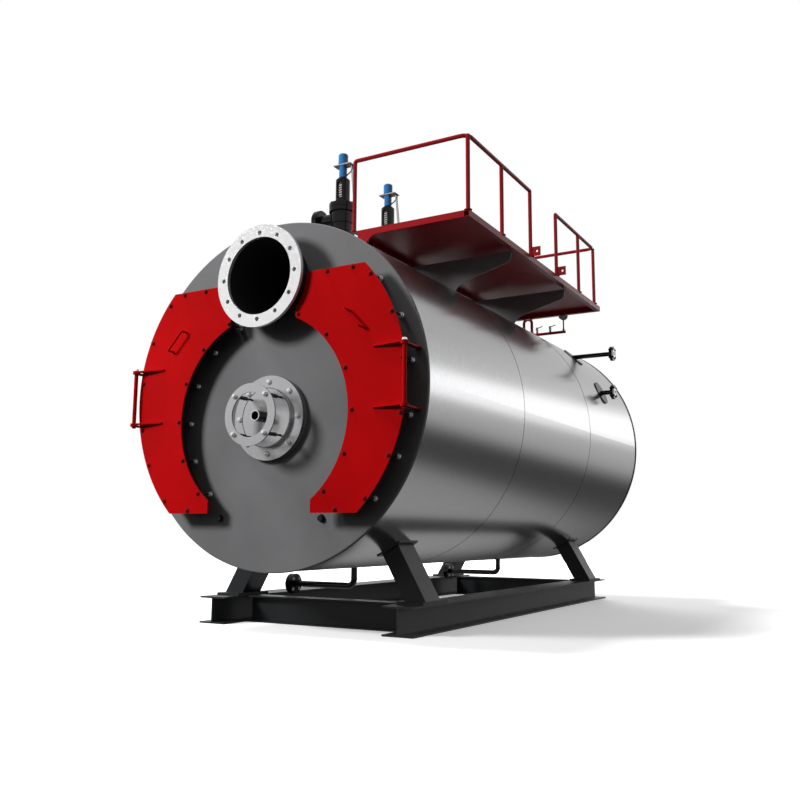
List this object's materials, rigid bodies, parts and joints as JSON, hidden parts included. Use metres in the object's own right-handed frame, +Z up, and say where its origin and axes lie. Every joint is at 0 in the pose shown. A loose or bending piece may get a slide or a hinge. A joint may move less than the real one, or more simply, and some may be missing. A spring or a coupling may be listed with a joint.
{
  "type": "industrial boiler",
  "caption": "Horizontal fire-tube boiler in a round insulated jacket on a skid, with a flue outlet, two smoke-box doors, a relief door and a service platform.",
  "frame": {"origin": "the middle of the front cross beam's underside, on the ground and midway between the two long beams", "axes": "+Z up, +Y along the barrel from the flue end to the burner end, +X towards the service platform's side"},
  "size_m": [2.74, 5.761, 4.139],
  "materials": {
    "jacket": "brushed stainless sheet",
    "end_plate": "satin grey paint",
    "flue_inside": "matt black",
    "bright_flange": "machined steel",
    "door_red": "satin red paint",
    "smoke_box": "dark heat-resisting paint",
    "dark_trim": "black oxide",
    "skid_black": "satin charcoal paint",
    "pipe_black": "black paint",
    "valve_blue": "gloss blue paint",
    "lever_grey": "light grey paint",
    "platform_red": "satin red paint",
    "gusset_grey": "grey primer"
  },
  "bodies": {
    "boiler": {"jacket_front": "jacket", "jacket_middle": "jacket", "jacket_rear": "jacket", "flue_end_plate": "end_plate", "burner_end_plate": "end_plate", "burner_opening_cover": "end_plate", "flue_duct": "flue_inside", "flue_flange": "bright_flange", "smoke_box_frame_left": "smoke_box", "smoke_box_frame_right": "smoke_box", "door_hinge_left": "door_red", "door_hinge_right": "door_red", "relief_seat": "bright_flange", "relief_guard_ring": "bright_flange", "relief_guide_rods": "dark_trim", "skid_beam_left": "skid_black", "skid_beam_right": "skid_black", "cross_beam_front": "skid_black", "cross_beam_rear": "skid_black", "leg_front_left": "skid_black", "leg_front_right": "skid_black", "leg_rear_left": "skid_black", "leg_rear_right": "skid_black", "blow_down_pipe_front": "pipe_black", "blow_down_pipe_rear": "pipe_black", "level_pipe_upper": "pipe_black", "level_pipe_lower": "pipe_black", "instrument_pipe": "platform_red", "pressure_gauge": "dark_trim", "deck_floor": "platform_red", "deck_beam_outer": "platform_red", "deck_beam_inner": "platform_red", "deck_beam_front": "platform_red", "deck_beam_rear": "platform_red", "deck_gusset_front": "gusset_grey", "deck_gusset_rear": "gusset_grey", "deck_shoe_front": "platform_red", "railing_front": "platform_red", "railing_outer_front": "platform_red", "railing_outer_rear": "platform_red", "railing_rear": "platform_red", "safety_valve_front": "pipe_black", "valve_cap_front": "valve_blue", "valve_lever_front": "lever_grey", "safety_valve_rear": "pipe_black", "valve_cap_rear": "valve_blue", "valve_lever_rear": "lever_grey"},
    "door_left": {"smoke_box_door_left": "door_red", "door_handle_left": "door_red"},
    "door_right": {"smoke_box_door_right": "door_red", "door_handle_right": "door_red"},
    "relief_door": {"relief_disc": "bright_flange", "peep_tube": "dark_trim"}
  },
  "joints": [
    {"name": "smoke_box_door_right_hinge", "type": "hinge", "parent": "boiler", "child": "door_right", "pos_m": [1.266, -0.952, 1.819], "axis": [0, 0, 1], "range_deg": [0, 105]},
    {"name": "smoke_box_door_left_hinge", "type": "hinge", "parent": "boiler", "child": "door_left", "pos_m": [-1.266, -0.952, 1.819], "axis": [0, 0, -1], "range_deg": [0, 105]},
    {"name": "relief_door_slide", "type": "slide", "parent": "boiler", "child": "relief_door", "axis": [0, -1, 0], "range_m": [0, 0.05], "stiffness_N_per_m": 8000, "springref_m": -0.05}
  ]
}
